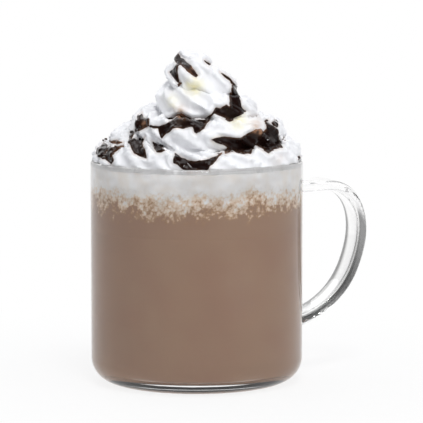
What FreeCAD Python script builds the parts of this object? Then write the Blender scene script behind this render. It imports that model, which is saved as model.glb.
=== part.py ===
"""White chocolate mocha in a clear glass mug, topped with a piped swirl of whipped cream.

Millimetres, +Z up. The origin is the centre of the mug's foot, on the table, and the handle points along +X.
Four pieces stand inside one another: the glass mug, the drink, the milk froth floating on it, and the cream.
"""

import FreeCAD
import Part
import math
import os

from FreeCAD import Vector

# ---- glass mug -------------------------------------------------------------------------------------------
MUG_RADIUS = 42.5
MUG_HEIGHT = 89.0
WALL = 2.6
BASE = 5.5
HEEL_RADIUS = 9.6  # outer rounding between the wall and the foot
INNER_HEEL_RADIUS = 6.5
PUNT_RADIUS = 25.0  # shallow hollow under the foot, inside the ring that touches the table
PUNT_DEPTH = 1.2
INNER_RADIUS = MUG_RADIUS - WALL
MID_WALL = MUG_RADIUS - WALL / 2

# ---- handle: a flat glass strap, bent like an ear ----------------------------------------------------------
HANDLE_WIDTH = 12.8
HANDLE_THICKNESS = 4.6
HANDLE_FLARE = 3.0  # how much wider the strap is where it is melted onto the wall
HANDLE_THICKENING = 0.8
HANDLE_MELT = 0.09  # share of the strap's length over which that extra glass dies away
HANDLE_SQUARENESS = 4.0  # exponent of the strap's superelliptic section
HANDLE_TOP = 77.3  # height of the strap's middle where it leaves the wall
HANDLE_BOTTOM = 21.8
HANDLE_REACH = 72.4  # the strap's middle, furthest from the mug's axis
HANDLE_BENDS = (  # places along the strap's middle: share of the way out, and share of the way down
    (0.0, 0.0),
    (0.34, 0.012),
    (0.68, 0.031),
    (0.85, 0.096),
    (1.0, 0.319),
    (0.94, 0.54),
    (0.76, 0.75),
    (0.425, 0.918),
    (0.0, 1.0),
)
HANDLE_SECTIONS = 21
SECTION_POINTS = 32

# ---- drink, froth and cream in the glass -------------------------------------------------------------------
DRINK_LEVEL = 71.5  # mean height of the uneven edge between drink and froth
FROTH_LEVEL = 81.0  # mean height of the edge between froth and cream
FROTH_LOBES = ((5, 1.3, 0.4), (9, 0.9, 2.1), (14, 0.6, 4.0))  # waves round the glass: count, height, phase
CREAM_LOBES = ((3, 0.8, 1.0), (7, 0.5, 3.3))
LEVEL_STEPS = 30

# ---- cream swirl: a star-shaped rope piped round and round, clockwise as it climbs ---------------------------
PIPING_START = math.radians(-115.0)  # azimuth where each turn of the rope begins
FIRST_TURN = -1.0  # turn 0 ends the ring that lies on the glass's rim, and the spiral climbs from there
LAST_TURN = 3.75
ROPE_RADIUS = 7.0  # half thickness of the rope
ROPE_TAPER = 2.0  # how much thinner it is where the piping ends
RING_RADIUS = 34.3  # from the axis to the middle of the rope, in the ring on the rim
RING_HEIGHT = 90.2
RING_DIP = 2.4  # the ring sinks where its two ends lie over each other
TURN_DRAW_IN = 9.6  # how much closer to the axis each turn of the spiral lies
TURN_RISE = 10.3
SPIRAL_SHIFT = 2.4  # the spiral stands this far off the mug's axis
SHIFT_TURN = 0.87  # towards this part of its turn
RIBS = 6  # points of the nozzle's star
RIB_DEPTH = 0.26  # depth of the grooves between them, as a share of the rope's half thickness
RIB_SWELL = 0.45  # share of that depth by which the points stand out beyond the half thickness
RIB_PITCH = 54.0  # length of rope in which the ribs go once round it
RIB_SHARPNESS = 0.8
FILL = 1.6  # least width of cream that fills the gap between neighbouring turns

# ---- cream: its tip, and its seat in the glass ---------------------------------------------------------------
TIP_FOOT = 120.0  # height where the rope's end starts to draw out into a peak
TIP_RISE = 10.7
TIP_RADIUS = 10.0
TIP_LEAN = 8.4
TIP_LEAN_ANGLE = math.radians(155.0)  # the side that the tip was pulled to, from +X
TIP_FIRST_LEVEL = 3.0
TIP_FULL_LEVEL = 3.65
TOP_LEVEL = 4.3
CREAM_FLOOR = 74.0  # the swirl is built from here up, and cut to the froth and the glass
CREAM_SHOULDER = 83.0  # the ring of rope leaves the glass wall here
OVERHANG = 0.5  # how far the cream hangs over the outside of the rim
BOTTOM_LEVEL = FIRST_TURN - 0.25
AROUND = 104
ROWS_PER_TURN = 24


def revolve_profile(edges):
    """Turns a closed half profile, drawn in the XZ plane, round the Z axis."""
    face = Part.Face(Part.Wire(edges))
    return face.revolve(Vector(0, 0, 0), Vector(0, 0, 1), 360)


def line(x0, z0, x1, z1):
    return Part.makeLine(Vector(x0, 0, z0), Vector(x1, 0, z1))


def arc_about(cx, cz, radius, start_deg, end_deg):
    """Arc in the XZ plane about (cx, cz), angles from +X towards +Z."""
    angles = (start_deg, (start_deg + end_deg) / 2, end_deg)
    points = [
        Vector(cx + radius * math.cos(math.radians(a)), 0, cz + radius * math.sin(math.radians(a)))
        for a in angles
    ]
    return Part.Arc(*points).toShape()


def punt_arc():
    """The hollow under the foot, as an arc from its middle to the ring that touches the table."""
    sphere_radius = (PUNT_RADIUS**2 + PUNT_DEPTH**2) / (2 * PUNT_DEPTH)
    half_way = PUNT_RADIUS / 2
    sag = sphere_radius - math.sqrt(sphere_radius**2 - half_way**2)
    return Part.Arc(
        Vector(0, 0, PUNT_DEPTH), Vector(half_way, 0, PUNT_DEPTH - sag), Vector(PUNT_RADIUS, 0, 0)
    ).toShape()


def mug_body():
    """The beaker: foot ring with a punt, rounded heel, straight wall, rolled rim and thick base."""
    rim = WALL / 2
    heel_x = MUG_RADIUS - HEEL_RADIUS
    inner_x = INNER_RADIUS - INNER_HEEL_RADIUS
    return revolve_profile(
        [
            punt_arc(),
            line(PUNT_RADIUS, 0, heel_x, 0),
            arc_about(heel_x, HEEL_RADIUS, HEEL_RADIUS, -90, 0),
            line(MUG_RADIUS, HEEL_RADIUS, MUG_RADIUS, MUG_HEIGHT - rim),
            arc_about(MID_WALL, MUG_HEIGHT - rim, rim, 0, 180),
            line(INNER_RADIUS, MUG_HEIGHT - rim, INNER_RADIUS, BASE + INNER_HEEL_RADIUS),
            arc_about(inner_x, BASE + INNER_HEEL_RADIUS, INNER_HEEL_RADIUS, 0, -90),
            line(inner_x, BASE, 0, BASE),
            line(0, BASE, 0, PUNT_DEPTH),
        ]
    )


def mug_inside():
    """The space in the beaker from its base up to the rim."""
    inner_x = INNER_RADIUS - INNER_HEEL_RADIUS
    return revolve_profile(
        [
            line(0, BASE, inner_x, BASE),
            arc_about(inner_x, BASE + INNER_HEEL_RADIUS, INNER_HEEL_RADIUS, -90, 0),
            line(INNER_RADIUS, BASE + INNER_HEEL_RADIUS, INNER_RADIUS, MUG_HEIGHT),
            line(INNER_RADIUS, MUG_HEIGHT, 0, MUG_HEIGHT),
            line(0, MUG_HEIGHT, 0, BASE),
        ]
    )


def handle_path():
    """Middle line of the strap: out from the wall, round the knuckles' bend and back along a long sweep."""
    reach = HANDLE_REACH - MID_WALL
    drop = HANDLE_TOP - HANDLE_BOTTOM
    points = [Vector(MID_WALL + reach * out, 0, HANDLE_TOP - drop * down) for out, down in HANDLE_BENDS]
    curve = Part.BSplineCurve()
    curve.interpolate(points)
    return curve


def superellipse(share, half_width, half_height):
    """Point of a rounded rectangle, at a share of the way round it."""
    c, s = math.cos(2 * math.pi * share), math.sin(2 * math.pi * share)
    power = 2 / HANDLE_SQUARENESS
    return (
        math.copysign(abs(c) ** power, c) * half_width,
        math.copysign(abs(s) ** power, s) * half_height,
    )


def strap_section(curve, share):
    """Section of the strap, square to its path, at a share of the path's length."""
    first, last = curve.FirstParameter, curve.LastParameter
    at = first + share * (last - first)
    centre = curve.value(at)
    across = Vector(0, 1, 0)
    through = curve.tangent(at)[0].cross(across)
    near_end = math.exp(-((min(share, 1 - share) / HANDLE_MELT) ** 2))
    half_width = (HANDLE_WIDTH + HANDLE_FLARE * near_end) / 2
    half_thick = (HANDLE_THICKNESS + HANDLE_THICKENING * near_end) / 2
    points = []
    for i in range(SECTION_POINTS):
        wide, thick = superellipse(i / SECTION_POINTS, half_width, half_thick)
        points.append(centre + across * wide + through * thick)
    section = Part.BSplineCurve()
    section.interpolate(points, PeriodicFlag=True)
    return Part.Wire([section.toShape()])


def handle():
    curve = handle_path()
    sections = [strap_section(curve, i / (HANDLE_SECTIONS - 1)) for i in range(HANDLE_SECTIONS)]
    return Part.makeLoft(sections, True, False)


def below_level(mean, lobes):
    """Everything below a gently uneven surface at the height mean, as one block wider than the glass."""
    side = 2 * MUG_RADIUS
    grid = []
    for i in range(LEVEL_STEPS + 1):
        row = []
        for j in range(LEVEL_STEPS + 1):
            x = side * (i / LEVEL_STEPS - 0.5)
            y = side * (j / LEVEL_STEPS - 0.5)
            turn = math.atan2(y, x)
            share = min(1.0, math.hypot(x, y) / INNER_RADIUS) ** 2
            waves = sum(height * math.cos(count * turn + phase) for count, height, phase in lobes)
            row.append(Vector(x, y, mean + share * waves))
        grid.append(row)
    surface = Part.BSplineSurface()
    surface.interpolate(grid)
    return surface.toShape().extrude(Vector(0, 0, -MUG_HEIGHT))


def smooth_step(value, low, high):
    """0 below low, 1 above high, and a smooth climb between."""
    share = max(0.0, min(1.0, (value - low) / (high - low)))
    return share * share * (3 - 2 * share)


def mix(first, second, share):
    return tuple(a + (b - a) * share for a, b in zip(first, second))


def rope_circle(turn):
    """The rope where it crosses a half plane through the axis: distance from the axis, height, half thickness."""
    turn = min(max(turn, FIRST_TURN), LAST_TURN)
    climbed = (turn + math.hypot(turn, 0.2)) / 2
    shift = SPIRAL_SHIFT * math.cos(2 * math.pi * (turn - SHIFT_TURN)) * smooth_step(turn, -0.5, 0.5)
    dip = RING_DIP * math.cos(2 * math.pi * turn) * (1 - smooth_step(turn, 0, 1))
    out = RING_RADIUS - TURN_DRAW_IN * climbed + shift
    thickness = ROPE_RADIUS - ROPE_TAPER * smooth_step(turn, LAST_TURN - 1, LAST_TURN)
    return max(0.0, out), RING_HEIGHT + TURN_RISE * climbed - dip, thickness


def rope_twist(turn):
    """How far the ribs have gone round the rope, from the length of rope piped since turn 0."""
    climbed = max(0.0, turn)
    length = 2 * math.pi * (RING_RADIUS * turn - TURN_DRAW_IN * climbed**2 / 2)
    return 2 * math.pi * length / RIB_PITCH


def ring_fade(turn):
    """1 along the rope, falling to 0 just before its first turn, where the skin follows the glass wall."""
    return smooth_step(turn, BOTTOM_LEVEL, FIRST_TURN)


def groove_below(turn):
    """Bottom of the groove between the rope and the turn below it: where their circles cross, or a narrow web
    of cream where they don't meet. The first turn meets the glass wall instead."""
    wall = (MID_WALL, CREAM_SHOULDER)
    on_rope = ring_fade(turn - 1)
    if on_rope == 0:
        return wall
    low_out, low_height, low_radius = rope_circle(turn - 1)
    out, height, radius = rope_circle(turn)
    step_out, step_up = out - low_out, height - low_height
    step = math.hypot(step_out, step_up)
    along = (step**2 + low_radius**2 - radius**2) / (2 * step)
    aside = max(FILL, math.sqrt(max(0.0, low_radius**2 - along**2)))
    crossing = (
        low_out + (along * step_out + aside * step_up) / step,
        low_height + (along * step_up - aside * step_out) / step,
    )
    return mix(wall, crossing, on_rope)


def rope_arc(turn, share):
    """Point of the rope's ribbed side, from the groove below it (share 0) over the outside to the groove above."""
    out, height, radius = rope_circle(turn)
    ends = [
        (x - out, z - height) for x, z in (groove_below(turn), groove_below(min(turn + 1, LAST_TURN)))
    ]
    start, end = (math.atan2(z, x) for x, z in ends)
    if end < start:
        end += 2 * math.pi
    angle = start + (end - start) * share
    rib_groove = abs(math.sin(RIBS * (angle + rope_twist(turn)) / 2)) ** RIB_SHARPNESS
    rib = RIB_DEPTH * (RIB_SWELL - rib_groove) * math.sin(math.pi * share) ** 0.5
    reach = radius * (1 + rib)
    reach += (math.hypot(*ends[0]) - radius) * (1 - share) ** 4
    reach += (math.hypot(*ends[1]) - radius) * share**4
    return out + reach * math.cos(angle), height + reach * math.sin(angle)


def wall_point(around, level):
    """Point of the skin below the rope: it climbs inside the glass wall to where the ring begins."""
    top_level = -around + (around + FIRST_TURN) * ring_fade(FIRST_TURN - around)
    climbed = min(1.0, (level - BOTTOM_LEVEL) / (top_level - BOTTOM_LEVEL))
    return MID_WALL, CREAM_FLOOR + (CREAM_SHOULDER - CREAM_FLOOR) * climbed


def keep_in_glass(out, height):
    """Holds the skin inside the glass wall up to the rim, and lets it hang over a little above."""
    free = smooth_step(height, MUG_HEIGHT - WALL / 4, MUG_HEIGHT + WALL / 2)
    return min(out, MID_WALL + (MUG_RADIUS + OVERHANG - MID_WALL) * free)


def tip_point(azimuth, share):
    """Point of the peak: rings that shrink along a path that rises and bends over, each square to the path."""
    bend = math.pi / 2 * share
    lean = TIP_LEAN * share**2
    rise = TIP_RISE * math.sin(bend)
    slope = math.atan2(2 * TIP_LEAN * share, TIP_RISE * math.pi / 2 * math.cos(bend))
    radius = TIP_RADIUS * (1 - share) ** 0.8
    aside = azimuth - TIP_LEAN_ANGLE
    along_lean = lean + radius * math.cos(aside) * math.cos(slope)
    across_lean = radius * math.sin(aside)
    c, s = math.cos(TIP_LEAN_ANGLE), math.sin(TIP_LEAN_ANGLE)
    return (
        along_lean * c - across_lean * s,
        along_lean * s + across_lean * c,
        TIP_FOOT + rise - radius * math.cos(aside) * math.sin(slope),
    )


def skin_point(around, level):
    """Point of the cream's skin. around runs once round the axis from 0 to 1, and level climbs one unit for each
    turn of the rope. The rope's edges lie where level + around is whole, so that its turns climb clockwise."""
    climbing = level + around
    turn = math.floor(climbing) - around
    azimuth = PIPING_START + 2 * math.pi * around
    on_rope = ring_fade(turn)
    out, height = rope_arc(turn, climbing - math.floor(climbing)) if on_rope else (0, 0)
    if on_rope < 1:
        out, height = mix(wall_point(around, level), (out, height), on_rope)
    out = keep_in_glass(out, height)
    on_side = (out * math.cos(azimuth), out * math.sin(azimuth), height)
    share = (level - TIP_FIRST_LEVEL) / (TOP_LEVEL - TIP_FIRST_LEVEL)
    if share <= 0:
        return Vector(*on_side)
    on_tip = tip_point(azimuth, share)
    return Vector(*mix(on_side, on_tip, smooth_step(level, TIP_FIRST_LEVEL, TIP_FULL_LEVEL)))


def cream_heap():
    """The whole swirl as one skin, closed by a disc below and a tiny one at the tip."""
    rows = round((TOP_LEVEL - BOTTOM_LEVEL) * ROWS_PER_TURN)
    poles = []
    for i in range(rows):
        level = BOTTOM_LEVEL + i / ROWS_PER_TURN
        poles.append([skin_point(j / AROUND, level) for j in range(AROUND)])
    surface = Part.BSplineSurface()
    spans = rows - 3
    surface.buildFromPolesMultsKnots(
        poles,
        [4] + [1] * (spans - 1) + [4],
        [1] * (AROUND + 1),
        list(range(spans + 1)),
        list(range(AROUND + 1)),
        False,
        True,
        3,
        3,
    )
    skin = surface.toShape()
    rims = [edge for edge in skin.Edges if edge.isClosed()]
    shell = Part.makeShell([skin] + [Part.Face(Part.Wire([edge])) for edge in rims])
    shell.sewShape()
    return Part.makeSolid(shell)


def main():
    os.makedirs("parts", exist_ok=True)
    beaker = mug_body()
    inside = mug_inside()
    below_froth = below_level(DRINK_LEVEL, FROTH_LOBES)
    below_cream = below_level(FROTH_LEVEL, CREAM_LOBES)

    pieces = {
        "glass_mug": beaker.fuse(handle()).removeSplitter(),
        "mocha_drink": inside.common(below_froth),
        "milk_froth": inside.common(below_cream).cut(below_froth),
        "whipped_cream": cream_heap().cut(below_cream).cut(beaker),
    }
    for name, shape in pieces.items():
        solids = shape.Solids
        print(name, "solids", len(solids), "valid", shape.isValid(), "cm3", round(shape.Volume / 1000, 2))
        if len(solids) != 1:
            raise ValueError(name + " is not one solid")
        solids[0].exportStep("parts/" + name + ".step")


main()
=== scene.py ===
"""Looks of a white chocolate mocha in a clear glass mug: the glass, the drink, the froth that floats on it,
the piped whipped cream and the chocolate sauce drizzled over it.

Metres, +Z up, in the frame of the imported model: the mug's foot stands at the origin and its handle points
along +X.
"""

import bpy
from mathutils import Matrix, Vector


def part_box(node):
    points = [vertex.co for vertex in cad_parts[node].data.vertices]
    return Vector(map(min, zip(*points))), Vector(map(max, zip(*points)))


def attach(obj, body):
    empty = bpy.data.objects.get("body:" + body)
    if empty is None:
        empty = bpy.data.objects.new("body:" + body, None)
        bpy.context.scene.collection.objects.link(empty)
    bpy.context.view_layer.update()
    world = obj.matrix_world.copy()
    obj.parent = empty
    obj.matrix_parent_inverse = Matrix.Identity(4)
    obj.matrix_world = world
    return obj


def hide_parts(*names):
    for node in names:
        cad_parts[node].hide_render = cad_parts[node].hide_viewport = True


bl_info = {
    "name": "White chocolate mocha",
    "version": (1, 0, 0),
    "blender": (4, 5, 0),
    "location": "3D View > Sidebar > Mocha",
    "description": "Glass mug of mocha with froth, a piped swirl of cream and chocolate sauce",
    "category": "Add Mesh",
}

import math

import bmesh
import bpy
import numpy as np
from bpy.props import FloatProperty, FloatVectorProperty, PointerProperty
from mathutils import Vector

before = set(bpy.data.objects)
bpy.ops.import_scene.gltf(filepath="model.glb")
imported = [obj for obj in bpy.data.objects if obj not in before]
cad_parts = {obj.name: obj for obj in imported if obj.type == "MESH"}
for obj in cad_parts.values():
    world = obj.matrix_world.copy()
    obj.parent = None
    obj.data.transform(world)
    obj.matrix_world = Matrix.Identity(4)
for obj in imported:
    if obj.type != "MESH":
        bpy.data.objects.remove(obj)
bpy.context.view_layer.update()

MM = 0.001
SEED = 11
GLASS_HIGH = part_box("glass_mug")[1]
DRINK_LOW, DRINK_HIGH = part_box("mocha_drink")
FROTH_LOW, FROTH_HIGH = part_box("milk_froth")
RIM_HEIGHT = GLASS_HIGH.z
MUG_RADIUS = GLASS_HIGH.y
INNER_RADIUS = DRINK_HIGH.y
BASE_TOP = DRINK_LOW.z
GLASS_HEEL = 9.6 * MM  # rounding of the glass's foot
INNER_HEEL = 6.5 * MM  # rounding between the glass's inner wall and its base
INTO_WALL = 0.2 * MM  # how far the drink, froth and cream reach into the glass, so that no air gap shows
FRONT = math.radians(-115.0)  # the side of the mug that the swirl was piped to face
TO_FRONT = np.array((math.cos(FRONT), math.sin(FRONT), 0))
TO_RIGHT = np.array((-math.sin(FRONT), math.cos(FRONT), 0))
MOST_FACES = 190_000  # triangles in one piece


# ---- What a user may change ----


def setting(kind, name, description, default, **limits):
    """A setting that can't be negative."""
    return kind(name=name, description=description, default=default, min=0, **limits)


def metres(*words):
    """A length, kept in metres and shown in the scene's unit."""
    return setting(FloatProperty, *words, subtype="DISTANCE", unit="LENGTH", precision=5)


def watts(*words):
    return setting(FloatProperty, *words, subtype="POWER", unit="POWER")


def fraction(*words):
    return setting(FloatProperty, *words, max=1, subtype="FACTOR")


def paint(*words):
    return setting(FloatVectorProperty, *words, max=1, size=3, subtype="COLOR")


class MochaCream(bpy.types.PropertyGroup):
    """Whipped cream"""

    rib_depth: fraction("Rib depth", "Depth of the rope's grooves, as a share of its thickness", 0.32)
    sway: metres("Sway", "How far the rope swells and shrinks along its way", 0.5 * MM)
    fold_size: metres("Fold size", "Distance between the soft folds", 6.5 * MM)
    fold_height: metres("Fold height", "Height of the soft folds", 0.45 * MM)
    crest_height: metres("Crest height", "Height of the torn crests beside the sauce", 1.5 * MM)
    colour: paint("Colour", "The cream's own colour", (0.88, 0.88, 0.89))
    syrup_colour: paint("Syrup colour", "Where syrup has run over the cream", (0.92, 0.86, 0.55))
    stain_colour: paint("Stain colour", "Where thin sauce has soaked into the cream", (0.55, 0.36, 0.22))


class MochaSauce(bpy.types.PropertyGroup):
    """Chocolate sauce"""

    thickness: metres("Thickness", "How thick the sauce lies on the cream", 0.9 * MM)
    shoulder: metres("Shoulder", "How far in from its edge the sauce is at its full thickness", 1.3 * MM)
    colour: paint("Colour", "The sauce where it is thick", (0.011, 0.0045, 0.0035))
    thin_colour: paint("Thin colour", "The sauce where the cream shines through it", (0.27, 0.14, 0.08))
    shine: fraction("Shine", "How strongly the sauce reflects", 0.13)


class MochaDrink(bpy.types.PropertyGroup):
    """Drink"""

    colour: paint("Colour", "Coffee and chocolate mixed with milk", (0.362, 0.216, 0.146))
    milkier_colour: paint("Milkier colour", "The drink's lighter swirls", (0.385, 0.243, 0.162))


class MochaFroth(bpy.types.PropertyGroup):
    """Milk froth"""

    edge_height: metres("Lower edge", "Mean height of the froth's lower edge above the table", 70.6 * MM)
    depth: metres("Depth", "Height over which the froth turns from stained bubbles to white", 11.0 * MM)
    bubble: metres("Bubble size", "Mean distance between the small bubbles", 1.1 * MM)
    stained_colour: paint("Stained colour", "Bubbles next to the drink", (0.40, 0.235, 0.14))
    colour: paint("Colour", "Clean froth and the cream on top of it", (0.97, 0.97, 0.98))
    tint: paint("Tint", "What the drink leaves in patches of the froth", (0.93, 0.89, 0.84))


class MochaGlass(bpy.types.PropertyGroup):
    """Glass mug"""

    roughness: fraction("Roughness", "Roughness where the glass is least clear", 0.012)
    waviness: metres("Waviness", "Depth of the glass's slow waves", 0.25 * MM)


class MochaStudio(bpy.types.PropertyGroup):
    """Studio"""

    key_power: watts("Key", "Power of the lamp above the front", 3.7)
    fill_power: watts("Fill", "Power of the lamp on the right", 2.1)
    back_power: watts("Back", "Power of the lamp behind", 1.5)
    world_level: fraction("World", "Strength of the light from all round", 0.52)
    floor_colour: paint("Floor", "The table's colour", (0.9, 0.9, 0.9))


class MochaSettings(bpy.types.PropertyGroup):
    """Everything a user may change"""

    cream: PointerProperty(type=MochaCream, name="Whipped cream", description="The piped swirl")
    sauce: PointerProperty(type=MochaSauce, name="Chocolate sauce", description="The drizzle on the swirl")
    drink: PointerProperty(type=MochaDrink, name="Drink", description="The mocha in the mug")
    froth: PointerProperty(type=MochaFroth, name="Milk froth", description="The froth on the drink")
    glass: PointerProperty(type=MochaGlass, name="Glass mug", description="The mug with its handle")
    studio: PointerProperty(type=MochaStudio, name="Studio", description="Floor, light and camera")


# ---- Shapes as whole arrays ----


def through(stations, at):
    """Smooth track through stations: rows of (place, value, value, ...), joined by cubic Hermite pieces
    whose slope at each station is the mean slope of its neighbours."""
    rows = np.asarray(stations, float)
    x, y = rows[:, 0], rows[:, 1:]
    slope = np.gradient(y, x, axis=0)
    i = np.clip(np.searchsorted(x, at, side="right") - 1, 0, len(x) - 2)
    step = (x[i + 1] - x[i])[:, None]
    s = (at[:, None] - x[i][:, None]) / step
    return (
        y[i] * (1 + 2 * s) * (1 - s) ** 2
        + step * slope[i] * s * (1 - s) ** 2
        + y[i + 1] * s**2 * (3 - 2 * s)
        + step * slope[i + 1] * s**2 * (s - 1)
    )


def unit(vectors):
    """The vectors scaled to length 1."""
    return vectors / np.maximum(np.linalg.norm(vectors, axis=-1, keepdims=True), 1e-12)


def smooth_step(low, high, value):
    """0 below low, 1 above high, and 3 s^2 - 2 s^3 between."""
    s = np.clip((value - low) / (high - low), 0, 1)
    return s * s * (3 - 2 * s)


PRIMES = (73856093, 19349663, 83492791)  # they scatter lattice places over a table of random values
TABLE = 4096


def noise(points, size, seed):
    """Value noise from -1 to 1: random values on a lattice with cells of the given size, blended
    smoothly."""
    table = np.random.default_rng(seed).uniform(-1, 1, TABLE)
    cell = np.floor(points / size).astype(np.int64)
    s = points / size - cell
    s = s * s * (3 - 2 * s)
    total = np.zeros(len(points))
    for corner in np.ndindex(2, 2, 2):
        at = cell + np.array(corner)
        key = np.bitwise_xor.reduce(at * PRIMES, axis=1)
        share = np.prod(np.where(np.array(corner) == 1, s, 1 - s), axis=1)
        total += share * table[key % TABLE]
    return total


def cells(across, up, size, seed):
    """Cell noise on a sheet: for points given by two arrays, the distance to the nearest of the random
    seeds that lie one in each square cell, in cells, and a random value that belongs to that seed."""
    shift_u, shift_v, shade = np.random.default_rng(seed).uniform(0, 1, (3, 2 * TABLE))
    u, v = across / size, up / size
    column, row = np.floor(u).astype(np.int64), np.floor(v).astype(np.int64)
    nearest, value = np.full(u.shape, 9.0), np.zeros(u.shape)
    for step_u, step_v in np.ndindex(3, 3):
        c, r = column + step_u - 1, row + step_v - 1
        key = ((c * PRIMES[0]) ^ (r * PRIMES[1])) % (2 * TABLE)
        gap = np.hypot(c + shift_u[key] - u, r + shift_v[key] - v)
        closer = gap < nearest
        nearest = np.where(closer, gap, nearest)
        value = np.where(closer, shade[key], value)
    return nearest, value


def grid_faces(rows, columns, closed):
    """Quads of a grid of rows x columns points. closed joins the last column to the first."""
    r, c = np.meshgrid(np.arange(rows - 1), np.arange(columns if closed else columns - 1), indexing="ij")
    here, beside = r * columns + c, r * columns + (c + 1) % columns
    return np.stack([here, beside, beside + columns, here + columns], axis=-1).reshape(-1, 4)


def mesh_from(name, points, quads, caps=()):
    """Mesh from arrays: points, quads, and any larger faces that close its ends."""
    loops = np.concatenate([quads.ravel(), *[np.asarray(c) for c in caps]]).astype(np.int32)
    sizes = np.concatenate([np.full(len(quads), 4), [len(c) for c in caps]]).astype(np.int32)
    mesh = bpy.data.meshes.new(name)
    mesh.vertices.add(len(points))
    mesh.vertices.foreach_set("co", np.asarray(points, np.float32).ravel())
    mesh.loops.add(len(loops))
    mesh.loops.foreach_set("vertex_index", loops)
    mesh.polygons.add(len(sizes))
    mesh.polygons.foreach_set("loop_start", np.concatenate([[0], np.cumsum(sizes)[:-1]]).astype(np.int32))
    mesh.update(calc_edges=True)
    mesh.validate()
    shade_smooth(mesh)
    return mesh


def shade_smooth(mesh):
    mesh.polygons.foreach_set("use_smooth", np.ones(len(mesh.polygons), bool))


def add_object(name, data):
    """Put a mesh, a lamp or a camera into the scene."""
    piece = bpy.data.objects.new(name, data)
    bpy.context.scene.collection.objects.link(piece)
    return piece


def read_array(rows, name, width, kind=np.float32):
    """A property of a mesh's points, edges, faces or corners, as an array of the given width."""
    values = np.empty(len(rows) * width, kind)
    rows.foreach_get(name, values)
    return values.reshape(-1, width)


def read_points(mesh):
    return read_array(mesh.vertices, "co", 3).astype(float)


def read_normals(mesh):
    return read_array(mesh.vertices, "normal", 3).astype(float)


def read_edges(mesh):
    return read_array(mesh.edges, "vertices", 2, np.int32)


def read_quads(mesh):
    return read_array(mesh.loops, "vertex_index", 1, np.int32).reshape(-1, 4)


def relax(values, edges, times):
    """Each value moves halfway to the mean of its neighbours, the given number of times."""
    count = len(values)
    start, end = edges[:, 0], edges[:, 1]
    degree = np.maximum(np.bincount(edges.ravel(), minlength=count), 1)[:, None]
    values = values.reshape(count, -1)
    for _ in range(times):
        total = np.stack(
            [
                np.bincount(start, values[end, k], count) + np.bincount(end, values[start, k], count)
                for k in range(values.shape[1])
            ],
            axis=1,
        )
        values = values + 0.5 * (total / degree - values)
    return values


def set_attribute(mesh, name, values):
    mesh.attributes.new(name, "FLOAT", "POINT").data.foreach_set("value", values.astype(np.float32).ravel())


def evaluated(piece):
    """The piece's mesh with its modifiers applied, as a new mesh."""
    bpy.context.view_layer.update()
    graph = bpy.context.evaluated_depsgraph_get()
    return bpy.data.meshes.new_from_object(piece.evaluated_get(graph))


# ---- Whipped cream: a star-shaped rope piped round and round ----

# turns from the front, distance from the axis, height, rope's half thickness (millimetres)
ROPE_ROUTE = (
    (-1.00, 33.0, 86.0, 7.0),
    (-0.75, 34.4, 89.6, 7.4),
    (-0.50, 33.5, 90.0, 7.2),
    (-0.25, 34.8, 90.2, 7.4),
    (0.00, 33.4, 88.0, 7.0),
    (0.25, 28.0, 95.6, 6.9),
    (0.50, 27.0, 98.5, 6.8),
    (0.75, 28.4, 99.9, 6.8),
    (1.00, 25.6, 100.4, 6.9),
    (1.25, 18.2, 103.4, 6.8),
    (1.50, 16.0, 106.5, 6.4),
    (1.75, 18.0, 107.6, 6.4),
    (2.00, 14.4, 110.6, 6.6),
    (2.25, 9.0, 113.2, 7.0),
    (2.50, 8.0, 115.0, 7.0),
    (2.75, 9.0, 116.1, 7.4),
    (3.00, 6.4, 121.0, 7.4),
    (3.25, 4.6, 124.0, 7.0),
    (3.50, 0.4, 126.6, 5.8),
    (3.75, -1.6, 129.2, 3.6),
    (3.75, -4.6, 130.8, 2.2),
    (3.75, -7.8, 131.0, 0.8),
)
RIBS = 6
RIB_BLUNT = 0.8  # below 1 the ribs are sharp and the grooves wide
RIB_SWELL = 0.45  # how much the ribs stand out past the rope's thickness, as a share of their depth
RIB_PITCH = 54.0 * MM  # length of rope in which its ribs go once round it


def rope_points(route, rib_depth, steps=24, around=60):
    """Star profile carried along the route. At a place on the route and a turn round the rope, the point
    is the centre + half thickness * (1 + depth * (swell - groove)) * (cos(turn) * outwards + sin(turn) *
    across), where groove = |sin(ribs * (turn + twist) / 2)| ^ blunt and the twist grows with the length
    of rope."""
    rows = np.asarray(route, float)
    stations = np.concatenate([np.arange(len(rows))[:, None], rows], axis=1)
    track = through(stations, np.linspace(0, len(rows) - 1, (len(rows) - 1) * steps))
    angle = FRONT - 2 * math.pi * track[:, 0]
    radial = np.stack([np.cos(angle), np.sin(angle), np.zeros_like(angle)], axis=1)
    centre = radial * track[:, 1:2] * MM
    centre[:, 2] = track[:, 2] * MM
    along = unit(np.gradient(centre, axis=0))
    out = unit(radial - along * np.sum(radial * along, axis=1, keepdims=True))
    across = np.cross(out, along)
    run = np.concatenate([[0], np.cumsum(np.linalg.norm(np.diff(centre, axis=0), axis=1))])
    turn = np.linspace(0, 2 * math.pi, around, endpoint=False)
    groove = np.abs(np.sin(RIBS * (turn + 2 * math.pi * run[:, None] / RIB_PITCH) / 2)) ** RIB_BLUNT
    reach = track[:, 3:4] * MM * (1 + RIB_SWELL * rib_depth - rib_depth * groove)
    cosine, sine = (reach * np.cos(turn))[..., None], (reach * np.sin(turn))[..., None]
    return centre[:, None, :] + cosine * out[:, None, :] + sine * across[:, None, :]


def turned(profile, around=96):
    """Surface of revolution: a profile of (radius, height) rows turned round the axis."""
    rows = np.asarray(profile, float) * MM
    angle = np.linspace(0, 2 * math.pi, around, endpoint=False)
    x = rows[:, :1] * np.cos(angle)
    y = rows[:, :1] * np.sin(angle)
    z = np.repeat(rows[:, 1:], around, axis=1)
    return np.stack([x, y, z], axis=-1)


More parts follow.
